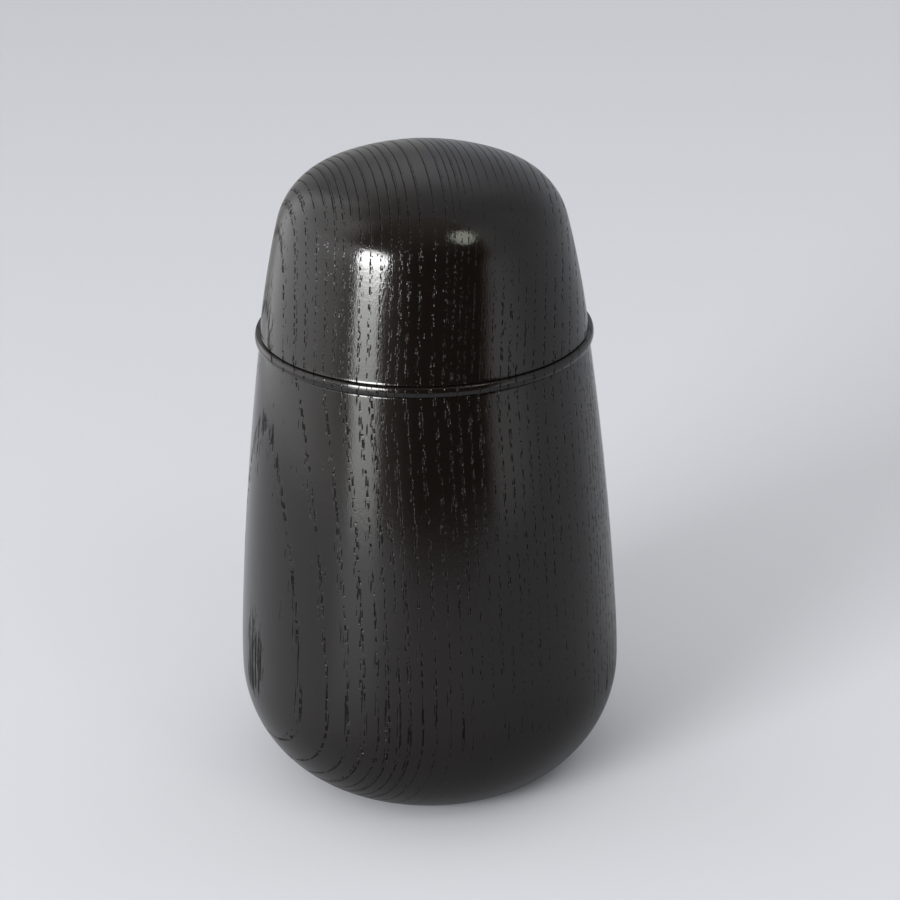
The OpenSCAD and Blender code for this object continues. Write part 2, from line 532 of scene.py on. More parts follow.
# How the wood grows and opens, alike on every piece. Lengths in mm, and a pair of numbers is where
# a change starts and where it is full.
UPWARD = 0.12  # pace of the rings' wandering up the trunk, as a share of its pace across
DRIFT_SIZE, DRIFT = 16.0, 0.5  # the rings' slow wandering and its reach
WEAVE_SIZE, WEAVE_OUT, WEAVE_ALONG = 2.6, 0.07, 0.2  # the rows' fine unevenness and its reaches
TIGHTEST = 0.35  # least width of a ring, as a share of its spacing
AXIS_GUARD = 1e-9  # keeps a division by the radius off the axis, m2
LENGTHWISE = (0.07, 0.025)  # how steeply the trunk runs out of a surface that lies along it
ALONG_RING = (0.965, 0.993)  # how squarely a surface that lies along a ring faces the pith
RUN_ON_LEVEL, RUN_ON_LENGTHWISE, RUN_ON_RING = 2.0, 0.5, 1.0  # how far open places grow there
SPREAD = 0.16  # how much further vessels stand off their row along a ring
THIN_OUT = 0.3  # share of the vessels that is closed along a ring
UNEVEN = 0.15  # how much the share of vessels differs from ring to ring
SECOND_OFF, SECOND_SIZE, SECOND_SHIFT = 0.36, 0.8, 31.7  # the second row: place, vessels, shift
SECOND_ON, SECOND_SHARE = (0.3, 1.0), 0.7  # how many rings have one, and its share of vessels
ROW_SHIFT, ROW_UNEVEN = 37.73, 0.75  # how rows differ from ring to ring and along themselves
VESSEL_LEAST, VESSEL_MORE = 0.7, 0.5  # sizes of vessels, as shares of the grain's own
OPEN_SHIFT, OPEN_UNEVEN, OPEN_SECOND = 7.31, 0.6, 0.5  # the same for the open places up a row
OPEN_LEAST, OPEN_MORE, OPEN_END = -0.1, 1.8, 0.8  # their half lengths, and how blunt they end
LATE_GAP, LATE_LEAST, LATE_MORE = 0.42, 0.04, 0.045  # small vessels: spacing and radii
LATE_SWELL, LATE_CROWD = 0.7, 0.3  # how much larger and closer they are along the trunk
LATE_SHARE, LATE_STRAY = 0.65, 0.04  # their share near a row and far from it
LATE_AFTER, LATE_BEFORE = (0.9, 0.05), (-0.35, -0.1)  # distances from a row within which they lie
LEVEL_CLOSE = 0.02  # how much narrower pores are on a level surface
BRIDGE_PACE, BRIDGE = (1.6, 1.6, 0.9), 0.12  # uneven edges of the pores, per mm in the log's axes
STREAK_PACE, STREAK = (1.3, 1.3, 0.11), 0.7  # streaks along the trunk where it is cut lengthwise
UNDERCUT = (0.0, 0.04)  # distance off a row at which its far side is undercut
SWITCH = 0.02  # half width of a soft yes or no between 0 and 1
NEARER = (-0.001, 0.001)  # half width of the change from one row to another

# How the lacquer lies, alike on every piece.
MARK_PACE, MARK_DULL = (0.3, 0.3, 4.5), 0.06  # turning marks, per mm, and how they dull the film
FIBRE_PACE, FIBRE = (4.0, 4.0, 0.55), 0.007  # the wood's fibre under the film and its height
GRIT_PACE, GRIT = (2.8, 2.8, 1.1), 0.013  # dust in the film and its height
FILM_SIZE, FILM_DULL, FILM = 7.0, 0.05, 0.02  # slow unevenness of the film and its height
BEAD_PACE, BEAD_ON = (0.7, 0.7, 2.4), (0.42, 0.58)  # where the film sinks deep into a pore
BEAD_LEAST, BEAD_MORE = 0.25, 0.85  # how deep it sinks elsewhere, and how much deeper there
PATCH_SIZE, PATCH_ON = 2.4, (0.25, 0.7)  # wear on the corners
WORN_THIN, WORN_DULL = 0.8, 0.08  # how much it thins and dulls the film
LIP, LIP_UNDER = (-0.08, 0.055), 0.06  # distance inside a pore over which the film sinks
PORE_DULL_ON, PORE_DULL = (-0.08, 0.02), 0.13  # distance inside a pore over which it dulls
HOLLOW_SHADE_ON, HOLLOW_SHADE_UNDER = (-0.03, 0.02), 0.02  # distance inside at which the painted shade in the hollow shows, and how much further it reaches on the undercut side
# The hollow's darker tone and weaker gloss are painted shade, standing in for the shade inside a
# pore.
FILM_IOR, HOLLOW_IOR, HOLLOW_ROUGH, HOLLOW_SHADE_GLOSS, HOLLOW_SHADE_TONE = 1.52, 1.45, 0.5, 0.12, 0.5


@dataclass(frozen=True)
class Wave:
    """One sine in the uneven spacing of the rings: amplitude and length in mm, phase in turns."""

    high: float
    long: float
    phase: float


@dataclass(frozen=True)
class Grain:
    """How a piece was cut from the log, whose rings are cylinders round a pith beside it.

    `toward` is the azimuth of the pith in degrees, 0 at the viewer and positive to the right.
    `pith` is its distance from the turning axis at the height `level`, and `lean` how far the
    piece's points move over, in X and Y, per unit of height, to stand upright in the log. `ring`
    is the rings' mean spacing and `start` the number of the ring at the axis. `lie` lays the log
    over before all that, as Euler angles in degrees. All lengths are in mm.
    """

    toward: float
    pith: float
    lean: tuple[float, float]
    level: float
    ring: float
    start: float
    waves: tuple[Wave, ...]
    vessel: float = 0.115  # radius of an earlywood vessel
    gap: float = 0.3  # spacing of vessels along a ring
    share: float = 0.8  # least share of those places that hold a vessel
    loose: float = 0.1  # how far vessels stand off their ring
    dash: float = 2.5  # spacing, up a vessel, of the places where the lacquer leaves it open
    open: float = 0.62  # half length of such a place
    flat: Ramp = (0.15, 0.5)  # tilts between which those places run together
    lie: tuple[float, float, float] = (0.0, 0.0, 0.0)

    def mapping(self) -> tuple[Vector, Euler]:
        """Place and turn that bring a point in mm to the log's own axes.

        X runs out from the pith, Y across and Z up the trunk: the point of the turning axis at
        `level` comes to (pith, 0, 0).

        Returns:
            The location and rotation of a Mapping node.
        """
        lay = Euler([math.radians(a) for a in self.lie]).to_matrix()
        upright = Euler((-math.atan(self.lean[1]), math.atan(self.lean[0]), 0)).to_matrix()
        toward = math.radians(self.toward)
        out = math.atan2(math.cos(toward), -math.sin(toward))
        turn = Matrix.Rotation(-out, 3, "Z") @ upright @ lay
        place = Vector((self.pith, 0, 0)) - turn @ Vector((0, 0, self.level))
        return place, turn.to_euler()

    def axis(self, which: int) -> Vector:
        """One of the log's axes, 0 out from the pith or 2 up the trunk, in the piece's own axes."""
        return self.mapping()[1].to_matrix()[which]


@dataclass(frozen=True)
class Rings:
    """A point's place in the growth rings, in mm."""

    point: Wire  # in the log's axes
    up: Wire  # distance up the trunk
    out: Wire  # distance from the pith, less the turning axis's own
    along: Wire  # distance along the ring
    index: Wire  # number of the nearest ring
    off: Wire  # distance out from that ring
    chance: Wire  # a number from 0 to 1 for each ring


@dataclass(frozen=True)
class Cut:
    """How the surface cuts the trunk: three shares of 1, and how squarely it faces the pith."""

    level: Wire  # flat, across the trunk
    lengthwise: Wire  # along the trunk
    along_ring: Wire  # along a ring
    facing: Wire  # cosine of the angle between its outward radius and the way from the pith


@dataclass(frozen=True)
class PoreMarks:
    """What the grain hands to a finish: points in the log's axes and the depth inside a pore, mm.

    `inside` is the distance from the nearest pore's edge, above 0 in the pore. `under` is 1 on the
    side of a pore where a slanting row of vessels runs in beneath the surface.
    """

    log: Wire
    inside: Wire
    under: Wire


@dataclass(frozen=True)
class Flood:
    """A place where the lacquer ran thicker and closed the smaller pores."""

    centre: tuple[float, float, float]  # mm
    inner: float  # how far it is at its full, mm
    outer: float  # where it ends, mm
    by: float  # how much narrower it makes a pore on each side, mm


@dataclass(frozen=True)
class Finish:
    """Lacquer over open-grained wood."""

    name: str
    grain: Grain
    colour: Colour  # of the film on a face
    rubbed: Colour  # of the film where it is thinned on an edge
    roughness: float
    polish: float  # how strongly fine turning marks show, 0 to 1
    depth: float  # how far the film sinks into a pore, mm
    fill: float = 0.0  # how much of a pore the film has filled, 0 to 1
    ripple: float = 0.0015  # height of the fine turning marks, mm
    floods: tuple[Flood, ...] = ()

    def material(self) -> bpy.types.Material:
        """Builds the finish, or hands back the one already built."""
        made = bpy.data.materials.get(self.name)
        if made:
            return made
        made = bpy.data.materials.new(self.name)
        made.use_nodes = True
        made.diffuse_color = (*self.colour, 1.0)
        self._film(Bench(made.node_tree))
        return made

    def _rings(self, bench: Bench, place: Wire) -> Rings:
        """Finds a point's place in the growth rings.

        A ring is a whole number of t = (g + sum of sines of g) / spacing, with g the distance from
        the pith, which wanders a little.

        Args:
            bench: The node tree.
            place: Object coordinates.

        Returns:
            The place.
        """
        grain = self.grain
        location, rotation = grain.mapping()
        point = bench.wire(
            "ShaderNodeMapping",
            0,
            {"vector_type": "POINT"},
            {"Vector": place, "Location": location, "Rotation": rotation, "Scale": (1 / MM,) * 3},
        )
        slow = bench.vector("MULTIPLY", point, (1.0, 1.0, UPWARD))
        drift = bench.noise(slow, DRIFT_SIZE, 1.0) - 0.5
        weave = bench.wire(
            "ShaderNodeTexNoise", 1, None, {"Vector": slow, "Scale": 1 / WEAVE_SIZE, "Detail": 1.0}
        )
        weave_out, weave_along, _ = bench.split(weave)
        out, across, up = bench.split(point)
        distance = bench.vector("LENGTH", bench.join(out, across, 0.0))
        g = distance + drift * DRIFT + (weave_out - 0.5) * WEAVE_OUT - grain.pith
        total, slopes = g, []
        for wave in grain.waves:
            pace = 2 * math.pi / wave.long
            angle = g * pace + 2 * math.pi * wave.phase
            total = total + angle.math("SINE") * wave.high
            slopes.append(angle.math("COSINE") * (wave.high * pace))
        slope = sum(slopes[1:], slopes[0])
        t = total / grain.ring + grain.start
        index = (t + 0.5).math("FLOOR")
        off = (t - index) * grain.ring / (slope + 1.0).math("MAXIMUM", TIGHTEST)
        along = across.math("ARCTAN2", out) * grain.pith + (weave_along - 0.5) * WEAVE_ALONG
        chance = bench.wire(
            "ShaderNodeTexWhiteNoise", "Value", {"noise_dimensions": "1D"}, {"W": index}
        )
        return Rings(point, up, g, along, index, off, chance)

    def _cut(self, bench: Bench, place: Wire) -> Cut:
        """Works out how the surface cuts the trunk, from its tilt and its azimuth.

        Args:
            bench: The node tree.
            place: Object coordinates.

        Returns:
            The cut.
        """
        trunk, away = self.grain.axis(2), self.grain.axis(0)
        tilt = bench.wire("ShaderNodeAttribute", "Fac", {"attribute_name": "tilt"})
        level = tilt.math("ABSOLUTE").step(*self.grain.flat)
        x, y, _ = bench.split(place)
        radius = (x**2.0 + y**2.0 + AXIS_GUARD) ** 0.5
        through = tilt * trunk.z + (x * trunk.x + y * trunk.y) / radius
        lengthwise = through.math("ABSOLUTE").step(*LENGTHWISE)
        facing = (x * away.x + y * away.y) / radius
        along_ring = facing.math("ABSOLUTE").step(*ALONG_RING) * (1 - level)
        return Cut(level, lengthwise, along_ring, facing)

    def _marks(self, bench: Bench, place: Wire, spot: Wire) -> PoreMarks:
        """Draws the vessels that the turned surface cuts open.

        Vessels stand along each ring as circles, in one row or two with small ones after them, and
        run straight up the trunk, so a leaning surface cuts them into dashes. The lacquer leaves
        them open in places, which run together where the surface is level or lies along the trunk
        or a ring. Noise makes their edges uneven, and floods of lacquer narrow them.

        Args:
            bench: The node tree.
            place: Object coordinates.
            spot: The same in mm.

        Returns:
            The marks.
        """
        grain = self.grain
        rings, cut = self._rings(bench, place), self._cut(bench, place)
        run_on = cut.level * RUN_ON_LEVEL + cut.lengthwise * RUN_ON_LENGTHWISE
        run_on = run_on + cut.along_ring * RUN_ON_RING
        loose = cut.along_ring * SPREAD + grain.loose
        share = rings.chance * UNEVEN + grain.share - cut.along_ring * THIN_OUT
        first = self._row(bench, rings, rings.off, share, loose, 1.0, 0.0)
        first = first.math("MINIMUM", self._open(bench, rings, 0.0) + run_on)
        beside = rings.off - SECOND_OFF
        share = rings.chance.step(*SECOND_ON) * SECOND_SHARE
        second = self._row(bench, rings, beside, share, loose, SECOND_SIZE, SECOND_SHIFT)
        second = second.math("MINIMUM", self._open(bench, rings, OPEN_SECOND) + run_on)
        rows = first.math("MAXIMUM", second)
        late = self._late(bench, rings, cut.lengthwise)
        inside = rows.math("MAXIMUM", late) - cut.level * LEVEL_CLOSE
        side = rings.off + (beside - rings.off) * (second - first).step(*NEARER)
        under = (side * cut.facing).step(*UNDERCUT) * (rows - late).step(*NEARER)
        under = under * (1 - cut.along_ring)
        bridge = bench.noise(bench.vector("MULTIPLY", rings.point, BRIDGE_PACE), 1.0, 1.0)
        streak = bench.noise(bench.vector("MULTIPLY", rings.point, STREAK_PACE), 1.0, 2.0)
        streaky = cut.lengthwise.math("MAXIMUM", cut.along_ring)
        inside = inside + (bridge - 0.5) * BRIDGE + (streak - 0.5) * streaky * STREAK
        for flood in self.floods:
            reach = bench.vector("DISTANCE", spot, flood.centre)
            inside = inside - reach.step(flood.outer, flood.inner) * flood.by
        return PoreMarks(rings.point, inside, under)

    def _row(
        self,
        bench: Bench,
        rings: Rings,
        off: Wire,
        share: Wire,
        loose: Wire,
        size: float,
        shift: float,
    ) -> Wire:
        """One row of vessels on every ring.

        Args:
            bench: The node tree.
            rings: The point's place in the rings.
            off: Distance from the row, mm.
            share: Share of the places that hold a vessel.
            loose: How far a vessel may stand off the row, mm.
            size: Size of the vessels, as a share of the grain's own.
            shift: Moves the places along, so that two rows differ.

        Returns:
            Distance inside a vessel's edge, mm, well below 0 outside.
        """
        gap = self.grain.gap
        where = rings.along / gap + rings.index * ROW_SHIFT + shift
        near, pick, wide, aside = bench.cells("1D", where, ROW_UNEVEN)
        reach = ((near * gap) ** 2.0 + (off + (aside - 0.5) * loose) ** 2.0) ** 0.5
        radius = (wide * VESSEL_MORE + VESSEL_LEAST) * (self.grain.vessel * size)
        return radius - reach - (pick - share).step(-SWITCH, SWITCH)

    def _open(self, bench: Bench, rings: Rings, shift: float) -> Wire:
        """Places up a row of vessels where the lacquer has not closed over them.

        Args:
            bench: The node tree.
            rings: The point's place in the rings.
            shift: Moves the places up, in shares of their spacing.

        Returns:
            Distance from the end of such a place, flattened along it, mm, above 0 inside.
        """
        dash = self.grain.dash
        where = rings.up / dash + rings.index * OPEN_SHIFT + shift
        near, length, _, _ = bench.cells("1D", where, OPEN_UNEVEN)
        return ((length * OPEN_MORE + OPEN_LEAST) * self.grain.open - near * dash) * OPEN_END

    def _late(self, bench: Bench, rings: Rings, swell: Wire) -> Wire:
        """Small vessels scattered between the rows, thinning out away from each ring's own row.

        Args:
            bench: The node tree.
            rings: The point's place in the rings.
            swell: Where they are larger and closer, 0 to 1.

        Returns:
            Distance inside a vessel's edge, mm, well below 0 outside.
        """
        where = bench.join(rings.out, rings.along, 0.0)
        near, pick, wide, _ = bench.cells("2D", where, 1.0, 1 / LATE_GAP)
        crowd = rings.off.step(*LATE_AFTER) * rings.off.step(*LATE_BEFORE)
        crowd = crowd * (swell * LATE_CROWD + LATE_SHARE) + LATE_STRAY
        radius = (wide * LATE_MORE + LATE_LEAST) * (swell * LATE_SWELL + 1.0)
        return radius - near * LATE_GAP - (pick - crowd).step(-SWITCH, SWITCH)

    def _film(self, bench: Bench) -> None:
        """Lays the lacquer: a glossy film that sinks into the pores, with painted shade in the
        hollows there: a dull, darker shader for the shade inside each pore.

        Args:
            bench: The material's node tree.
        """
        place = bench.wire("ShaderNodeTexCoord", "Object")
        spot = bench.vector("SCALE", place, scale=1 / MM)
        marks = self._marks(bench, place, spot)
        exposed = bench.wire("ShaderNodeAttribute", "Fac", {"attribute_name": "exposed"})
        turning = bench.noise(bench.vector("MULTIPLY", spot, MARK_PACE), 1.0, 1.0)
        fibre = bench.noise(bench.vector("MULTIPLY", marks.log, FIBRE_PACE), 1.0, 2.0, 0.6)
        grit = bench.noise(bench.vector("MULTIPLY", spot, GRIT_PACE), 1.0, 1.0)
        film = bench.noise(spot, FILM_SIZE, 2.0)
        beads = bench.noise(bench.vector("MULTIPLY", marks.log, BEAD_PACE), 1.0, 0.0)
        beads = beads.step(*BEAD_ON) * BEAD_MORE + BEAD_LEAST
        worn = exposed * bench.noise(spot, PATCH_SIZE, 3.0, 0.6).step(*PATCH_ON)
        colour = bench.mix(worn * WORN_THIN, self.colour, self.rubbed)
        rough = (turning - 0.5) * (MARK_DULL * self.polish) + (film - 0.5) * FILM_DULL
        rough = rough + worn * WORN_DULL + self.roughness
        rough = rough + marks.inside.step(*PORE_DULL_ON) * PORE_DULL
        height = (
            (turning - 0.5) * (self.ripple * self.polish)
            + (grit - 0.5) * (GRIT * self.polish)
            + (fibre - 0.5) * FIBRE
            + (film - 0.5) * FILM
            - (marks.inside - marks.under * LIP_UNDER).step(*LIP) * beads * self.depth
        )
        bump = bench.wire(
            "ShaderNodeBump", 0, None, {"Strength": 1.0, "Distance": MM, "Height": height}
        )
        face = bench.node(
            "ShaderNodeBsdfPrincipled",
            None,
            {"Base Color": colour, "Roughness": rough, "IOR": FILM_IOR, "Normal": bump},
        )
        # painted shade: the hollow's darker colour and weaker gloss stand in for the shade inside a
        # pore
        hollow = bench.node(
            "ShaderNodeBsdfPrincipled",
            None,
            {
                "Base Color": (*(HOLLOW_SHADE_TONE * c for c in self.colour), 1.0),
                "Roughness": HOLLOW_ROUGH,
                "IOR": HOLLOW_IOR,
                "Specular IOR Level": HOLLOW_SHADE_GLOSS,
                "Normal": bump,
            },
        )
        # painted shade: how far the hollow's shade covers a point, reaching further on a pore's
        # undercut side
        dark = (marks.inside + marks.under * HOLLOW_SHADE_UNDER).step(*HOLLOW_SHADE_ON) * (1 - self.fill)
        bench.blend(dark, face, hollow)


BLACK: Colour = (0.0036, 0.0025, 0.0019)
BLACK_RUBBED: Colour = (0.022, 0.012, 0.008)
BROWN: Colour = (0.020, 0.012, 0.008)
BROWN_RUBBED: Colour = (0.05, 0.028, 0.016)

LID_GRAIN = Grain(
    toward=-77.7,
    pith=221.5,
    lean=(-0.068, -0.015),
    level=118.0,
    ring=1.864,
    start=17.502,
    waves=(
        Wave(0.539, 64.0, 0.116),
        Wave(0.675, 32.0, 0.681),
        Wave(0.227, 21.3, 0.798),
        Wave(0.133, 16.0, 0.754),
        Wave(0.209, 12.8, 0.774),
        Wave(0.238, 10.7, 0.724),
    ),
    vessel=0.11,
    gap=0.13,
    share=1.0,
    loose=0.02,
    dash=1.7,
    open=0.45,
    flat=(0.75, 1.0),
)
BODY_GRAIN = Grain(
    toward=114.0,
    pith=119.6,
    lean=(-0.045, 0.012),
    level=60.0,
    ring=2.065,
    start=4.037,
    waves=(
        Wave(0.965, 48.0, 0.597),
        Wave(0.478, 24.0, 0.896),
        Wave(0.264, 16.0, 0.350),
        Wave(0.149, 12.0, 0.889),
        Wave(0.071, 9.6, 0.502),
    ),
    vessel=0.115,
    gap=0.2,
    share=0.85,
    loose=0.04,
)


DISC_GRAIN = Grain(
    toward=90.0,
    pith=70.0,
    lean=(0.0, 0.0),
    level=0.0,
    ring=2.0,
    start=0.3,
    waves=(Wave(0.4, 9.0, 0.2),),
    lie=(0.0, 90.0, 0.0),
)
KNOB_GRAIN = Grain(
    toward=40.0,
    pith=60.0,
    lean=(0.0, 0.0),
    level=110.0,
    ring=1.9,
    start=0.0,
    waves=(Wave(0.3, 8.0, 0.5),),
    vessel=0.1,
)


class Finishes(Enum):
    """The finishes of the caddy, by where they are."""

    BODY_OUTSIDE = Finish(
        "black_lacquer_body", BODY_GRAIN, BLACK, BLACK_RUBBED,
        roughness=0.13, polish=0.8, depth=0.088,
        floods=(
            Flood((18.9, -27.0, 8.0), 16.0, 32.0, 0.07),
            Flood((22.7, -32.4, 35.0), 10.0, 32.0, 0.025),
        ),
    )
    BODY_INSIDE = Finish(
        "satin_lacquer_chamber", BODY_GRAIN, BROWN, BROWN_RUBBED,
        roughness=0.38, polish=0.5, depth=0.05, fill=0.4,
    )
    LID_OUTSIDE = Finish(
        "black_lacquer_lid", LID_GRAIN, BLACK, BLACK_RUBBED,
        roughness=0.11, polish=1.0, depth=0.042, ripple=0.004,
        floods=(Flood((16.0, -19.0, 126.0), 6.0, 18.0, 0.06),),
    )
    LID_INSIDE = Finish(
        "satin_lacquer_lid", LID_GRAIN, BROWN, BROWN_RUBBED,
        roughness=0.38, polish=0.5, depth=0.05, fill=0.4,
    )
    COLLAR = Finish(
        "rubbed_lacquer_collar", BODY_GRAIN, BROWN, BROWN_RUBBED,
        roughness=0.32, polish=0.8, depth=0.05, fill=0.3,
    )
    INNER_LID = Finish(
        "black_lacquer_inner_lid", DISC_GRAIN, BLACK, BLACK_RUBBED,
        roughness=0.24, polish=0.8, depth=0.07, fill=0.2,
    )
    KNOB = Finish(
        "black_lacquer_knob", KNOB_GRAIN, BLACK, BLACK_RUBBED,
        roughness=0.24, polish=0.8, depth=0.06, fill=0.2,
    )


# ---------------------------------------------------------------- the caddy's sub-assemblies


def declare(piece: bpy.types.Object, node: str, body: str) -> bpy.types.Object:
    """Says which solid a piece stands for and what it moves with.

    Args:
        piece: The piece.
        node: The CAD node it replaces.
        body: The body it rides on.

    Returns:
        The piece.
    """
    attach(piece, body)
    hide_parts(node)
    log.info("%s: %d faces, stands for %s on %s", piece.name, len(piece.data.polygons), node, body)
    return piece


@dataclass
class Vessel:
    """The round-bottomed body and the collar glued into its mouth. Sizes in mm."""

    body_d: float
    body_h: float
    collar_z: float
    belly_z: float = 25.0
    base_d: float = 44.0
    belly_r: float = 175.0
    flank_r: float = 825.0
    rim_inset: float = 6.25
    body_wall: float = 6.0
    floor_t: float = 7.0
    rim_round: float = 0.8
    dish_d: float = 35.0
    dish_deep: float = 1.2
    collar_inset: float = 5.65
    collar_t: float = 3.0
    collar_set: float = 10.0
    collar_round: float = 0.8
    ledge_h: float = 3.0
    step_h: float = 3.0
    step_w: float = 1.6
    # what a corner takes up of each side
    foot_arris: float = 0.7
    dish_arris: float = 0.4
    ledge_arris: float = 0.25
    ledge_root: float = 0.5
    floor_root: float = 1.2
    mouth_arris: float = 0.2
    step_arris: float = 0.25
    step_root: float = 0.1

    def __post_init__(self) -> None:
        """Works out the centres and radii that the profiles share."""
        self.belly_rad = self.body_d / 2
        self.rim_rad = self.belly_rad - self.rim_inset
        inset = self.belly_rad - self.base_d / 2
        self.bottom_r = bow(self.belly_z, inset)
        self.bottom_c = np.array([self.belly_rad - self.bottom_r, self.belly_z])
        self.belly_c = np.array([self.belly_rad - self.belly_r, self.belly_z])
        rim = np.array([self.rim_rad, self.body_h])
        self.flank_c = upper_meet(self.belly_c, self.flank_r - self.belly_r, rim, self.flank_r)
        self.flank_a = bearing(self.flank_c, self.belly_c)
        self.collar_rad = self.rim_rad - self.collar_inset
        self.mouth_rad = self.collar_rad - self.collar_t
        self.seat_z = self.body_h - self.collar_set
        self.step_z = self.collar_z - self.step_h
        self.step_rad = self.mouth_rad + self.step_w

    def _side(self, inset: float, low: float, high: float) -> Points:
        """Side of the vessel between two heights: three arcs in a row, moved in by an inset."""
        radius = self.bottom_r - inset
        end = climb(high - self.flank_c[1], self.flank_r - inset)
        return chain(
            arc(self.bottom_c, radius, -climb(self.belly_z - low, radius), 0),
            arc(self.belly_c, self.belly_r - inset, 0, self.flank_a),
            arc(self.flank_c, self.flank_r - inset, self.flank_a, end),
        )

    def body(self) -> bpy.types.Object:
        """Turns the body: dished foot, round bottom, flank, rim, collar seat, ledge and chamber."""
        dish_r = bow(self.dish_d / 2, self.dish_deep)
        dish_c = np.array([0.0, self.dish_deep - dish_r])
        dish_a = math.degrees(math.acos(self.dish_d / 2 / dish_r))
        rim_z = self.body_h - self.rim_round
        rim_out = leg(self.flank_r - self.rim_round, rim_z - self.flank_c[1])
        rim_c = np.array([self.flank_c[0] + rim_out, rim_z])
        rim_a = bearing(self.flank_c, rim_c)
        side_z = self.flank_c[1] + self.flank_r * math.sin(math.radians(rim_a))
        ledge_z = self.seat_z - self.ledge_h
        wall = self._side(self.body_wall, self.floor_t, ledge_z)
        under = self.mouth_rad + ledge_z - wall.sum(axis=1) > 0
        meet = wall[under][-1]
        outline = Outline()
        outline.draw(arc(dish_c, dish_r, 90, dish_a), ease=self.dish_arris)
        outline.to(self.base_d / 2, 0, ease=self.foot_arris)
        outline.draw(self._side(0, 0, side_z), arc(rim_c, self.rim_round, rim_a, 90))
        outline.to(self.collar_rad, self.body_h).to(self.collar_rad, self.seat_z)
        outline.to(self.mouth_rad, self.seat_z).wear(Coat.INSIDE)
        outline.to(self.mouth_rad, ledge_z, ease=self.ledge_arris)
        outline.to(*meet, ease=self.ledge_root)
        outline.draw(wall[under][::-1], ease=self.floor_root)
        outline.to(0, self.floor_t)
        coats = (Finishes.BODY_OUTSIDE.value, Finishes.BODY_INSIDE.value)
        return turned("body_turned", outline, coats)

    def collar(self) -> bpy.types.Object:
        """Turns the collar: a sleeve with a round outer corner and a step for the inner lid."""
        corner = np.array([self.collar_rad, self.collar_z]) - self.collar_round
        outline = Outline()
        outline.draw(straight((self.mouth_rad, self.seat_z), (self.collar_rad, self.seat_z)))
        outline.draw(
            straight((self.collar_rad, self.seat_z), (self.collar_rad, corner[1])),
            arc(corner, self.collar_round, 0, 90),
            straight((corner[0], self.collar_z), (self.step_rad, self.collar_z)),
            ease=self.mouth_arris,
        )
        outline.to(self.step_rad, self.step_z, ease=self.step_root)
        outline.to(self.mouth_rad, self.step_z, ease=self.step_arris)
        outline.to(self.mouth_rad, self.seat_z)
        return turned("collar_turned", outline, (Finishes.COLLAR.value,), closed=True)

    def build(self) -> None:
        """Makes both pieces and says what they stand for."""
        declare(self.body(), "body", "vessel")
        declare(self.collar(), "collar", "vessel")


@dataclass
class InnerLid:
    """The disc that drops into the collar and the knob on it. Sizes in mm."""

    vessel: Vessel
    knob_z: float
    fit: float = 0.1
    lead: float = 0.5
    rim: float = 2.6
    boss_d: float = 15.0
    hollow_deep: float = 0.8
    knob_d: float = 13.0
    neck_d: float = 6.4
    neck_h: float = 4.4
    foot_d: float = 10.0
    foot_h: float = 1.2
    head_r: float = 2.2
    tenon_d: float = 5.0
    # what a corner takes up of each side
    lead_arris: float = 0.12
    rim_arris: float = 0.2
    hollow_arris: float = 0.5
    foot_root: float = 0.15
    foot_arris: float = 0.3
    neck_root: float = 0.1

    def disc(self) -> bpy.types.Object:
        """Turns the disc: flat rim and boss with a shallow hollow between them."""
        top, low = self.vessel.collar_z, self.vessel.step_z
        radius, tenon = self.vessel.step_rad - self.fit, self.tenon_d / 2
        hollow_out = radius - self.rim
        half = (hollow_out - self.boss_d / 2) / 2
        hollow_r = bow(half, self.hollow_deep)
        hollow_c = np.array([hollow_out - half, top - self.hollow_deep + hollow_r])
        hollow_a = climb(half, hollow_r)
        outline = Outline()
        outline.draw(straight((tenon, low), (radius - self.lead, low)), ease=self.lead_arris)
        outline.to(radius, low + self.lead, ease=self.lead_arris)
        outline.to(radius, top, ease=self.rim_arris).to(hollow_out, top, ease=self.hollow_arris)
        hollow = arc(hollow_c, hollow_r, hollow_a - 90, -hollow_a - 90)
        outline.draw(hollow, ease=self.hollow_arris)
        outline.draw(straight((self.boss_d / 2, top), (tenon, top))).to(tenon, low)
        return turned("inner_lid_turned", outline, (Finishes.INNER_LID.value,), closed=True)

    def knob(self) -> bpy.types.Object:
        """Turns the knob: tenon, foot, hollowed neck and a round-edged head."""
        base, low = self.vessel.collar_z, self.vessel.step_z
        neck_r = self.neck_h / 2
        neck_c = np.array([self.neck_d / 2 + neck_r, base + self.foot_h + neck_r])
        head_c = np.array([self.knob_d / 2 - self.head_r, neck_c[1] + neck_r + self.head_r])
        neck_a = math.degrees(math.acos((neck_c[0] - head_c[0]) / neck_r))
        rise = self.knob_z - head_c[1]
        cap_r = (head_c[0] ** 2 + rise**2 - self.head_r**2) / (2 * (rise - self.head_r))
        cap_c = np.array([0.0, self.knob_z - cap_r])
        cap_a = bearing(cap_c, head_c)
        foot_z, tenon, foot = base + self.foot_h, self.tenon_d / 2, self.foot_d / 2
        neck = arc(neck_c, neck_r, 180 + neck_a, 180 - neck_a)
        outline = Outline()
        outline.draw(straight((0, low), (tenon, low))).to(tenon, base)
        outline.to(foot, base, ease=self.foot_root).to(foot, foot_z, ease=self.foot_arris)
        outline.to(head_c[0], foot_z, ease=self.neck_root)
        outline.draw(straight((head_c[0], foot_z), neck[0]), neck)
        outline.draw(
            straight(neck[-1], (head_c[0], head_c[1] - self.head_r)),
            arc(head_c, self.head_r, -90, cap_a),
            arc(cap_c, cap_r, cap_a, 90),
        )
        return turned("inner_lid_knob_turned", outline, (Finishes.KNOB.value,))

    def build(self) -> None:
        """Makes both pieces and says what they stand for."""
        declare(self.disc(), "inner_lid", "inner_lid")
        declare(self.knob(), "inner_lid_knob", "inner_lid")


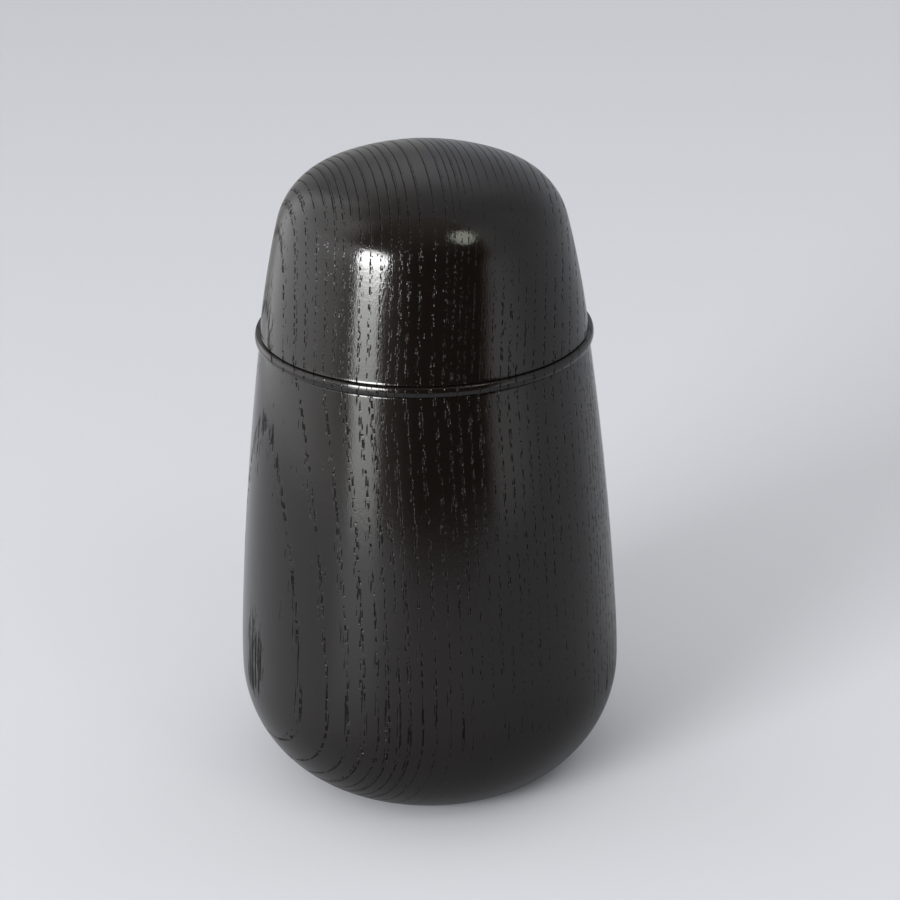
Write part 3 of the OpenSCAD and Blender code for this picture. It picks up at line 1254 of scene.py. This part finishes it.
@dataclass
class Lid:
    """The domed lid with its bead, and the bore that slips over the collar. Sizes in mm."""

    vessel: Vessel
    top_z: float
    inset: float = 0.1
    lean: float = 7.2
    side_r: float = 213.0
    shoulder_r: float = 14.7
    crown_r: float = 51.5
    wall: float = 4.4
    bore_room: float = 1.5
    bore_lead: float = 0.6
    bead_h: float = 2.05
    bead_out: float = 0.95
    bead_r: float = 2.0
    bead_round: float = 0.4
    quirk_w: float = 0.15
    quirk_deep: float = 0.35
    cove_h: float = 0.5
    cove_r: float = 1.5
    fit: float = 0.1
    # what a corner takes up of each side
    cavity_arris: float = 0.3
    bore_root: float = 0.1
    bore_arris: float = 0.2
    mouth_arris: float = 0.15
    quirk_arris: float = 0.06
    lip_arris: float = 0.08

    def __post_init__(self) -> None:
        """Works out the centres that the outside and the cavity share."""
        foot = np.array([self.vessel.rim_rad - self.inset, self.vessel.body_h + self.bead_h])
        self.side_foot = foot
        self.side_c = foot - self.side_r * heading(self.lean)
        self.crown_c = np.array([0.0, self.top_z - self.crown_r])
        self.shoulder_c = upper_meet(
            self.side_c, self.side_r - self.shoulder_r, self.crown_c, self.crown_r - self.shoulder_r
        )
        self.side_a = bearing(self.side_c, self.shoulder_c)
        self.crown_a = bearing(self.crown_c, self.shoulder_c)

    def _dome(self, inset: float, start: float) -> Points:
        """Side, shoulder and crown from an angle on the side, moved in by an inset."""
        line = chain(
            arc(self.side_c, self.side_r - inset, start, self.side_a),
            arc(self.shoulder_c, self.shoulder_r - inset, self.side_a, self.crown_a),
            arc(self.crown_c, self.crown_r - inset, self.crown_a, 90),
        )
        line[-1, 0] = 0.0
        return line

    def dome(self) -> bpy.types.Object:
        """Turns the lid, from the middle of its cavity round the mouth and up to the crown."""
        rim = self.vessel.body_h
        bead_rad = self.vessel.rim_rad + self.bead_out
        bead_c = np.array([bead_rad - self.bead_r, rim + self.bead_h / 2])
        edge_r = self.bead_r - self.bead_round
        bead_a = climb(self.bead_h / 2 - self.bead_round, edge_r)
        low, high = bead_c + edge_r * heading(-bead_a), bead_c + edge_r * heading(bead_a)
        quirk_z = self.side_foot[1] + self.quirk_w
        quirk_rad = self.side_foot[0] - self.quirk_deep
        cove_a = climb(quirk_z + self.cove_h - self.side_c[1], self.side_r)
        cove_c = self.side_c + (self.side_r + self.cove_r) * heading(cove_a)
        lip_a = climb(cove_c[1] - quirk_z, self.cove_r)
        lip = cove_c - self.cove_r * heading(lip_a)
        bore = self.vessel.collar_rad + self.fit
        bore_z = self.vessel.collar_z + self.bore_room
        cavity_a = climb(bore_z - self.side_c[1], self.side_r - self.wall)
        outline = Outline(coat=Coat.INSIDE)
        outline.draw(self._dome(self.wall, cavity_a)[::-1], ease=self.cavity_arris)
        outline.to(bore, bore_z, ease=self.bore_root)
        outline.to(bore, rim + self.bore_lead, ease=self.bore_arris)
        outline.to(bore + self.bore_lead, rim, ease=self.mouth_arris).wear(Coat.OUTSIDE)
        outline.draw(
            straight((bore + self.bore_lead, rim), (low[0], rim)),
            arc(low, self.bead_round, -90, -bead_a),
            arc(bead_c, self.bead_r, -bead_a, bead_a),
            arc(high, self.bead_round, bead_a, 90),
            straight((high[0], self.side_foot[1]), (quirk_rad, self.side_foot[1])),
            ease=self.quirk_arris,
        )
        outline.to(quirk_rad, quirk_z, ease=self.quirk_arris).to(*lip, ease=self.lip_arris)
        outline.draw(arc(cove_c, self.cove_r, 180 + lip_a, 180 + cove_a), self._dome(0, cove_a))
        coats = (Finishes.LID_OUTSIDE.value, Finishes.LID_INSIDE.value)
        return turned("lid_turned", outline, coats)

    def build(self) -> None:
        """Makes the lid and says what it stands for."""
        declare(self.dome(), "lid", "lid")


# ---------------------------------------------------------------- floor, light and camera

LEVEL_GUARD = 1e-6  # keeps a division by the level part of a direction away from 0


@dataclass(frozen=True)
class Veil:
    """A thin curtain over the lower part of a window, in shares of the window's size."""

    fade: Ramp = (0.515, 0.68)  # heights between which the curtain gives way to clear glass
    low: float = 0.24  # brightness through the curtain at its top
    power: float = 1.4  # with which it falls off downwards
    taper: float = 0.22  # how much narrower the curtained part is on the right
    left_share: float = 0.33  # share of that on the left
    edge: float = 0.03  # softness of the sides
    top_middle: float = 0.45  # where the bowed top is highest
    top_bow: float = 0.4  # how much it drops away from there
    top_slant: float = 0.05  # how much it drops to the right
    top: Ramp = (1.14, 0.87)  # heights over which it fades out
    colour: Colour = (0.97, 1.0, 0.95)


@dataclass(frozen=True)
class Panel:
    """A soft light seen from the caddy: angles in degrees, distances and sizes in metres.

    Azimuth 0 is the viewer's side and positive is to the right; `glow` is the panel's brightness,
    1 being white.
    """

    name: str
    azimuth: float
    elevation: float
    distance: float
    width: float
    height: float
    glow: float
    colour: Colour = (1.0, 1.0, 1.0)
    mirrored: bool = True  # whether the lacquer shows it
    round: bool = False
    veil: Veil | None = None

    def _curtain(self, lamp: bpy.types.AreaLight, veil: Veil) -> None:
        """Shapes the light by a veil, over the panel's own height and width.

        Args:
            lamp: The light.
            veil: Its curtain.
        """
        lamp.use_nodes = True
        bench = Bench(lamp.node_tree)
        across, up, _ = bench.split(bench.wire("ShaderNodeNewGeometry", "Parametric"))
        clear = up.step(*veil.fade)
        veiled = (up / veil.fade[0]) ** veil.power * veil.low
        narrow = (1 - clear) * veil.taper
        inside = (across - narrow * veil.left_share).step(-veil.edge, veil.edge)
        inside = inside * (1 - across - narrow).step(-veil.edge, veil.edge)
        bowed = up + (across - veil.top_middle) ** 2.0 * veil.top_bow + across * veil.top_slant
        strength = (veiled * (1 - clear) + clear) * (inside * bowed.step(*veil.top))
        tint = bench.mix(clear, veil.colour, (1.0, 1.0, 1.0))
        light = bench.node("ShaderNodeEmission", None, {"Color": tint, "Strength": strength})
        bench.finish(light.outputs[0], "ShaderNodeOutputLight")

    def hang(self, middle: Vector) -> None:
        """Makes the light, facing a point.

        Args:
            middle: The point, in metres.
        """
        turn, rise = math.radians(self.azimuth), math.radians(self.elevation)
        level = math.cos(rise)
        away = Vector((math.sin(turn) * level, -math.cos(turn) * level, math.sin(rise)))
        lamp = bpy.data.lights.new(self.name, "AREA")
        lamp.shape = "ELLIPSE" if self.round else "RECTANGLE"
        lamp.size, lamp.size_y = self.width, self.height
        lamp.energy = self.glow * math.pi * self.width * self.height
        lamp.color = self.colour
        if self.veil:
            self._curtain(lamp, self.veil)
        holder = bpy.data.objects.new(self.name, lamp)
        holder.location = middle + away * self.distance
        holder.rotation_euler = away.to_track_quat("Z", "Y").to_euler()
        holder.visible_glossy = self.mirrored
        bpy.context.scene.collection.objects.link(holder)
        log.info("light %s", self.name)


@dataclass(frozen=True)
class Sector:
    """A part of the surroundings with soft edges, by azimuth and elevation in degrees.

    Azimuth 0 is at the viewer's side and positive to the right. Each edge is where the sector
    starts and where it is full, and on a side without one the sector runs on.
    """

    left: Ramp | None = None
    right: Ramp | None = None
    low: Ramp | None = None
    high: Ramp | None = None

    def share(self, turn: Wire, rise: Wire | None = None) -> Wire:
        """How far a direction lies in the sector, 0 to 1: the product of its edges' steps.

        Args:
            turn: Azimuth, degrees.
            rise: Elevation, degrees, where the sector has an edge in it.

        Returns:
            The share.
        """
        edges = ((turn, self.left), (turn, self.right), (rise, self.low), (rise, self.high))
        steps = [angle.step(*edge) for angle, edge in edges if edge]
        return math.prod(steps[1:], start=steps[0])


@dataclass(frozen=True)
class Floor:
    """The pale floor, which the lacquer mirrors as a shaded table top with the room beyond it.

    Distances from the caddy's axis are in metres.
    """

    colour: Colour = (0.496, 0.503, 0.533)
    reach: float = 6.0
    nearest: float = 0.05  # radius of the innermost ring of points
    rings: int = 24
    sides: int = 96
    tooth_size: float = 1.5  # of the paper's grain, mm
    tooth: float = 0.985  # its darker tone, as a share of the colour
    roughness: float = 0.9
    gloss: float = 0.1
    table_edge: Ramp = (0.265, 0.395)
    viewer_edge: Ramp = (0.172, 0.392)  # the table's edge at the viewer's side
    viewer: Sector = Sector(left=(-24.0, -8.0), right=(37.0, 22.0))
    dim: float = 0.12  # how much darker the table is mirrored
    shade: float = 0.41  # how much darker still it is on the right
    shade_from: Ramp = (-0.1, 0.0)  # X at which that starts
    shade_far: Ramp = (0.06, 0.13)
    shade_far_less: float = 0.1
    behind: Sector = Sector(left=(100.0, 130.0))
    behind_far: Ramp = (0.05, 0.12)
    behind_less: float = 0.19
    glare: float = 0.73  # how much brighter it is under the window
    glare_at: Sector = Sector(left=(-57.5, -44.5), right=(-21.5, -34.5))
    glare_far: Ramp = (0.03, 0.25)

    def _paper(self) -> bpy.types.Material:
        """Pale paper, with the table top's light and shade where the lacquer mirrors it."""
        material = bpy.data.materials.new("pale_paper")
        material.use_nodes = True
        bench = Bench(material.node_tree)
        place = bench.wire("ShaderNodeTexCoord", "Object")
        grain = bench.noise(bench.vector("SCALE", place, scale=1 / MM), self.tooth_size, 3.0)
        tone = bench.mix(grain, self.colour, tuple(self.tooth * c for c in self.colour))
        right, depth, _ = bench.split(place)
        far = bench.vector("LENGTH", place)
        turn = right.math("ARCTAN2", depth * -1.0) * DEGREES
        glare = self.glare_at.share(turn) * far.step(*self.glare_far)
        shade = self.shade - far.step(*self.shade_far) * self.shade_far_less
        behind = self.behind.share(turn) * far.step(*self.behind_far)
        shade = shade - behind * self.behind_less
        darker = right.step(*self.shade_from) * shade + self.dim - glare * self.glare
        mirror = bench.wire("ShaderNodeLightPath", "Is Glossy Ray")
        paper = bench.node(
            "ShaderNodeBsdfPrincipled",
            None,
            {
                "Base Color": bench.vector("SCALE", tone, scale=1 - mirror * darker),
                "Roughness": self.roughness,
                "Specular IOR Level": self.gloss,
            },
        )
        edge = far.step(*self.table_edge)
        edge = edge + (far.step(*self.viewer_edge) - edge) * self.viewer.share(turn)
        bench.blend(mirror * edge, paper, bench.node("ShaderNodeBsdfTransparent"))
        return material

    def lay(self) -> None:
        """Lays the floor: z = 0 over a disc, as rings of points about the axis."""
        reach = np.geomspace(self.nearest, self.reach, self.rings)[:, None]
        turn = 2 * np.pi * np.arange(self.sides) / self.sides
        flat = np.zeros((self.rings, self.sides))
        grid = np.stack([reach * np.cos(turn), reach * np.sin(turn), flat], axis=-1).reshape(-1, 3)
        ring = np.arange(len(grid)).reshape(self.rings, self.sides)
        onward = np.roll(ring, -1, axis=1)
        quads = np.stack([ring[:-1], ring[1:], onward[1:], onward[:-1]], axis=-1).reshape(-1, 4)
        fan = np.stack([ring[0], onward[0], np.full(self.sides, len(grid))], axis=1)
        mesh = bpy.data.meshes.new("floor")
        faces = quads.tolist() + fan.tolist()
        mesh.from_pydata([*grid.tolist(), [0.0, 0.0, 0.0]], [], faces)
        mesh.materials.append(self._paper())
        floor = bpy.data.objects.new("floor", mesh)
        bpy.context.scene.collection.objects.link(floor)


@dataclass(frozen=True)
class Room:
    """The room that the lacquer mirrors: pale walls with a dim sector at the viewer's side.

    A pair of numbers is where a change starts and where it is full: an elevation in degrees or,
    with x or y in its name, a part of the level direction.
    """

    wall: float = 0.47
    seen: float = 0.6  # brightness to the camera itself
    left: float = 0.66  # how much brighter the left wall is
    left_x: Ramp = (-0.42, -0.72)
    left_more: float = 0.2  # and how much more in each of two bands
    left_bands: tuple[Ramp, Ramp] = ((-11.0, -4.0), (30.0, 20.0))
    corner: float = 0.12  # how much brighter a corner on the right is
    corner_at: Sector = Sector(left=(15.0, 48.0), right=(85.0, 52.0))
    corner_more: float = 0.25  # and how much more low down
    corner_low: Ramp = (12.0, -4.0)
    behind: float = 0.08  # how much darker the far wall is
    behind_y: Ramp = (0.88, 0.97)
    behind_high_y: Ramp = (0.2, 0.5)  # it is wider high up
    behind_high: Ramp = (10.0, 30.0)
    post: float = 0.28  # how much darker a post left of the window is
    post_at: Sector = Sector(left=(-92.0, -64.0), right=(-50.0, -54.0), high=(8.0, -2.0))
    jamb: float = 0.3  # how much darker the window's left jamb is
    jamb_at: Sector = Sector((-64.5, -60.0), (-50.5, -55.0), (-12.0, -9.0), (18.0, 8.0))
    lamp: float = 0.4  # a soft lamp high up behind the caddy
    lamp_way: tuple[float, float, float] = (-0.0605, 0.692, 0.7193)
    lamp_aside: Ramp = (27.0, 3.0)  # angles from its middle
    ceiling: float = 0.4
    ceiling_from: Ramp = (46.0, 68.0)
    dim_at: Sector = Sector(left=(-31.0, -25.0))
    dim_above: Sector = Sector(left=(-85.0, -48.0), low=(26.0, 34.0))  # over the window
    dim_right: Ramp = (49.0, 38.0)  # azimuths
    dim_slant: float = 5.0  # how far that edge moves right in each of two bands
    dim_bands: tuple[Ramp, Ramp] = ((-8.0, 4.0), (2.0, 20.0))
    dark: float = 0.012  # brightness of the dim sector
    dark_more: float = 0.31  # how much brighter it is high up
    dark_high: Ramp = (20.0, 88.0)
    spill: float = 0.2  # how much brighter it is beside the window
    spill_at: Sector = Sector(right=(-6.0, -26.0), high=(60.0, 20.0))
    wall_tint: Colour = (0.985, 0.99, 1.0)
    right_tint: Colour = (0.94, 0.965, 1.03)
    right_at: Sector = Sector(left=(50.0, 90.0))
    dim_tint: Colour = (1.0, 0.93, 0.82)

    def _walls(self, way: tuple[Wire, Wire, Wire], turn: Wire, rise: Wire) -> Wire:
        """Brightness of the walls and the ceiling.

        Args:
            way: X, Y and Z of the direction, of length 1.
            turn: Its azimuth, degrees.
            rise: Its elevation, degrees.

        Returns:
            The brightness.
        """
        x, y, _ = way
        level = (x**2.0 + y**2.0 + LEVEL_GUARD) ** 0.5
        bands = [rise.step(*band) * self.left_more for band in self.left_bands]
        left = (x / level).step(*self.left_x) * (bands[0] + bands[1] + self.left)
        corner = rise.step(*self.corner_low) * self.corner_more + self.corner
        back = y / level
        behind = rise.step(*self.behind_high) * back.step(*self.behind_high_y)
        behind = back.step(*self.behind_y).math("MAXIMUM", behind)
        wall = left + self.corner_at.share(turn) * corner + self.wall - behind * self.behind
        post, jamb = self.post_at.share(turn, rise), self.jamb_at.share(turn, rise)
        wall = wall * (1 - post * self.post - jamb * self.jamb)
        toward_x, toward_y, toward_z = (part * lamp for part, lamp in zip(way, self.lamp_way))
        off_lamp = (toward_x + toward_y + toward_z).math("ARCCOSINE") * DEGREES
        wall = wall + off_lamp.step(*self.lamp_aside) * self.lamp
        high = rise.step(*self.ceiling_from)
        return wall * (1 - high) + high * self.ceiling

    def build(self) -> None:
        """Makes the world."""
        world = bpy.data.worlds.new("room")
        bpy.context.scene.world = world
        world.use_nodes = True
        bench = Bench(world.node_tree)
        way = bench.split(bench.wire("ShaderNodeTexCoord", "Generated"))
        turn = way[0].math("ARCTAN2", way[1] * -1.0) * DEGREES
        rise = way[2].math("ARCSINE") * DEGREES
        right = turn
        for band in self.dim_bands:
            right = right - rise.step(*band) * self.dim_slant
        dim = self.dim_at.share(turn).math("MAXIMUM", self.dim_above.share(turn, rise))
        dim = dim * right.step(*self.dim_right)
        dark = rise.step(*self.dark_high) * self.dark_more
        dark = dark + self.spill_at.share(turn, rise) * self.spill + self.dark
        glow = self._walls(way, turn, rise) * (1 - dim) + dark * dim
        tint = bench.mix(self.right_at.share(turn), self.wall_tint, self.right_tint)
        tint = bench.mix(dim, tint, self.dim_tint)
        seen = bench.wire("ShaderNodeLightPath", "Is Camera Ray")
        glow = glow * (1 - seen) + seen * self.seen
        back = bench.node("ShaderNodeBackground", None, {"Color": tint, "Strength": glow})
        bench.finish(back.outputs[0], "ShaderNodeOutputWorld")


@dataclass
class Studio:
    """The floor, the room, the lights and the camera."""

    middle: tuple[float, float, float] = (0.0, 0.0, 0.09)  # where the lights point, m
    camera_rise: float = 23.236
    camera_far: float = 0.625262
    camera_aim: tuple[float, float, float] = (0.004902, 0.0, 0.071603)
    camera_roll: float = 0.826
    focal_pixels: float = 3000.0
    sensor: float = 36.0  # mm
    clip: tuple[float, float] = (0.01, 50.0)  # m
    panels: tuple[Panel, ...] = (
        Panel("window", -38.2, 1.3, 1.8, 0.77, 1.76, 29.0, veil=Veil()),
        Panel("far_lamp", 40.5, 46.5, 0.9, 0.23, 0.32, 3.2, (0.95, 1.0, 0.86), round=True),
        Panel("overhead", 0.0, 90.0, 1.2, 2.4, 2.4, 0.43, mirrored=False),
        Panel("front_fill", -12.0, 38.0, 2.0, 3.2, 1.5, 1.8, mirrored=False),
        Panel("back_fill", 125.0, 40.0, 1.6, 1.4, 1.0, 0.8, mirrored=False),
    )

    def camera(self) -> None:
        """Sets the camera at the picture's viewpoint: a rise, a distance and a slight roll."""
        rise, roll = math.radians(self.camera_rise), math.radians(self.camera_roll)
        back = Vector((0.0, -math.cos(rise), math.sin(rise)))
        right = Vector((1.0, 0.0, 0.0))
        up = back.cross(right)
        across = math.cos(roll) * right - math.sin(roll) * up
        upward = math.sin(roll) * right + math.cos(roll) * up
        lens = bpy.data.cameras.new("camera")
        lens.sensor_width = self.sensor
        lens.lens = self.focal_pixels / FRAME_PIXELS * lens.sensor_width
        lens.clip_start, lens.clip_end = self.clip
        holder = bpy.data.objects.new("camera", lens)
        turn = Matrix((across, upward, back)).transposed().to_4x4()
        stand = Vector(self.camera_aim) + back * self.camera_far
        holder.matrix_world = Matrix.Translation(stand) @ turn
        bpy.context.scene.collection.objects.link(holder)
        bpy.context.scene.camera = holder

    def build(self) -> None:
        """Sets up everything round the caddy."""
        bpy.context.scene.view_settings.view_transform = "Standard"
        self.camera()
        Floor().lay()
        Room().build()
        for panel in self.panels:
            panel.hang(Vector(self.middle))


def main() -> None:
    """Builds the studio and the caddy's sub-assemblies."""
    logging.basicConfig(level=logging.INFO, format="%(name)s: %(message)s")
    Studio().build()
    body_low, body_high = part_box("body")
    vessel = Vessel(
        body_d=(body_high.x - body_low.x) / MM,
        body_h=body_high.z / MM,
        collar_z=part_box("collar")[1].z / MM,
    )
    vessel.build()
    InnerLid(vessel, knob_z=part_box("inner_lid_knob")[1].z / MM).build()
    Lid(vessel, top_z=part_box("lid")[1].z / MM).build()


if __name__ == "__main__":
    main()
